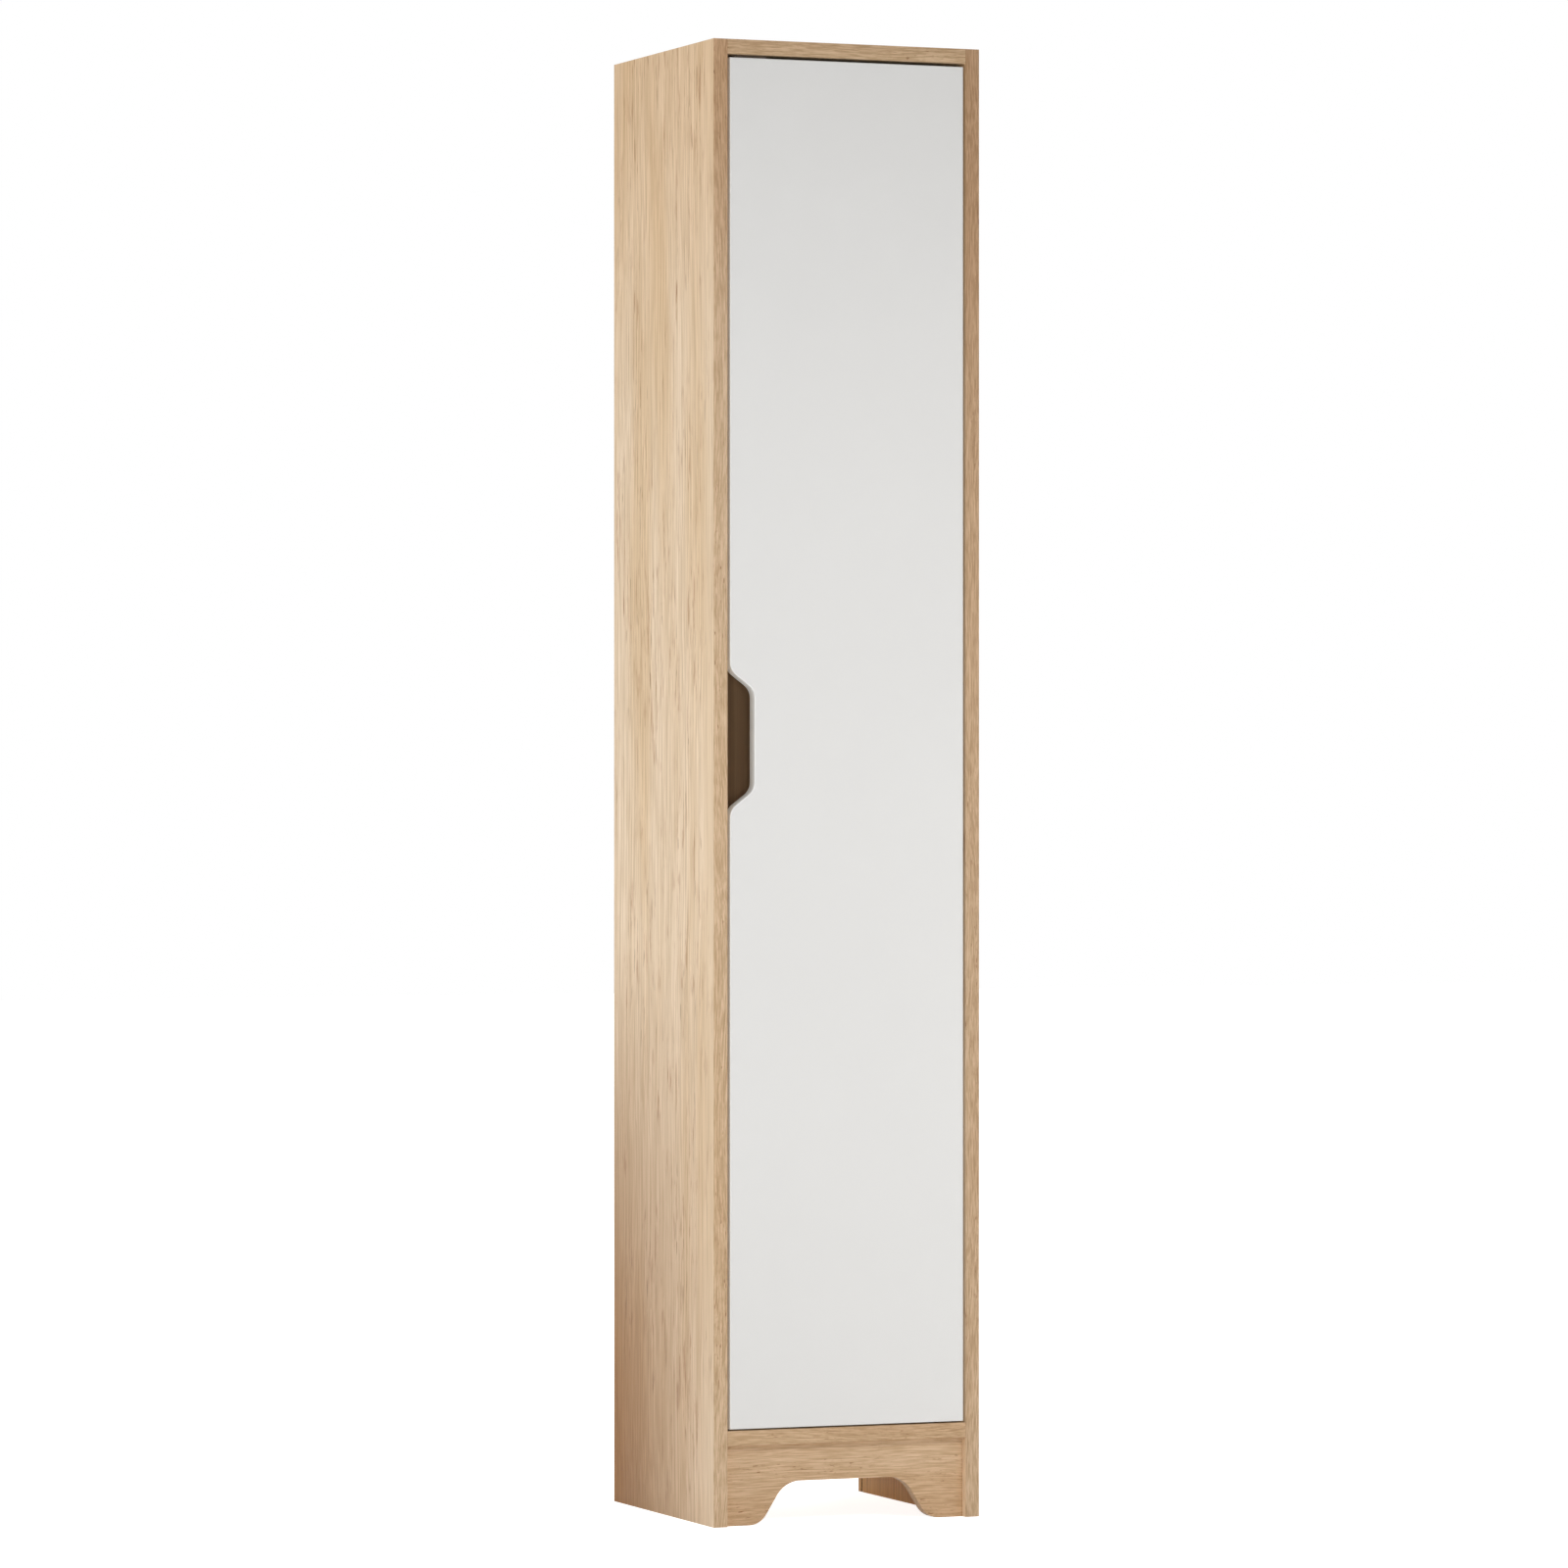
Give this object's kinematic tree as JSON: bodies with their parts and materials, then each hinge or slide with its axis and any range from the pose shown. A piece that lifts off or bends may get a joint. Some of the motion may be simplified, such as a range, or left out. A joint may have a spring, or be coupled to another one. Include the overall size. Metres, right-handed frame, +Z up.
{
  "type": "storage cabinet",
  "caption": "Tall narrow free-standing storage cabinet with an inset door, a finger notch in its free edge, adjustable shelves inside and an arched plinth.",
  "frame": {"origin": "centre of the footprint on the floor", "axes": "+X towards the hinge side, +Y towards the wall, +Z up"},
  "size_m": [0.35, 0.34, 1.8],
  "materials": {
    "oak_board": "satin",
    "oak_edging": "satin",
    "white_board": "satin",
    "hardboard": "satin",
    "beech": "matte",
    "cast_zinc": "satin",
    "plated_steel": "satin",
    "brown_plastic": "matte",
    "magnet": "matte"
  },
  "bodies": {
    "carcass": {"back_panel": "hardboard", "back_panel_nails": "plated_steel", "bottom_edging": "oak_edging", "bottom_hinge_arm": "plated_steel", "bottom_hinge_plate": "plated_steel", "bottom_panel": "oak_board", "cam_bolts": "plated_steel", "cam_discs": "cast_zinc", "catch_body": "brown_plastic", "catch_magnet": "magnet", "catch_screws": "plated_steel", "fixed_shelf": "oak_board", "fixed_shelf_edging": "oak_edging", "hinge_arm_screws": "plated_steel", "hinge_plate_screws": "plated_steel", "left_side_edging": "oak_edging", "left_side_panel": "oak_board", "loose_shelf_1": "oak_board", "loose_shelf_1_edging": "oak_edging", "loose_shelf_2": "oak_board", "loose_shelf_2_edging": "oak_edging", "loose_shelf_3": "oak_board", "loose_shelf_3_edging": "oak_edging", "middle_hinge_arm": "plated_steel", "middle_hinge_plate": "plated_steel", "plinth_board": "oak_board", "right_side_edging": "oak_edging", "right_side_panel": "oak_board", "shelf_pins_1": "plated_steel", "shelf_pins_2": "plated_steel", "shelf_pins_3": "plated_steel", "top_edging": "oak_edging", "top_hinge_arm": "plated_steel", "top_hinge_plate": "plated_steel", "top_panel": "oak_board", "wall_bracket": "plated_steel", "wall_bracket_screws": "plated_steel", "wooden_dowels": "beech"},
    "door": {"door_panel": "white_board", "bottom_hinge_cup": "plated_steel", "middle_hinge_cup": "plated_steel", "top_hinge_cup": "plated_steel", "hinge_pins": "plated_steel", "hinge_cup_screws": "plated_steel", "strike_plate": "plated_steel", "strike_screws": "plated_steel"}
  },
  "joints": [
    {"name": "door_swing", "type": "hinge", "parent": "carcass", "child": "door", "pos_m": [0.1383, -0.1616, 0.9479], "axis": [0, 0, 1], "range_deg": [0, 100]}
  ]
}
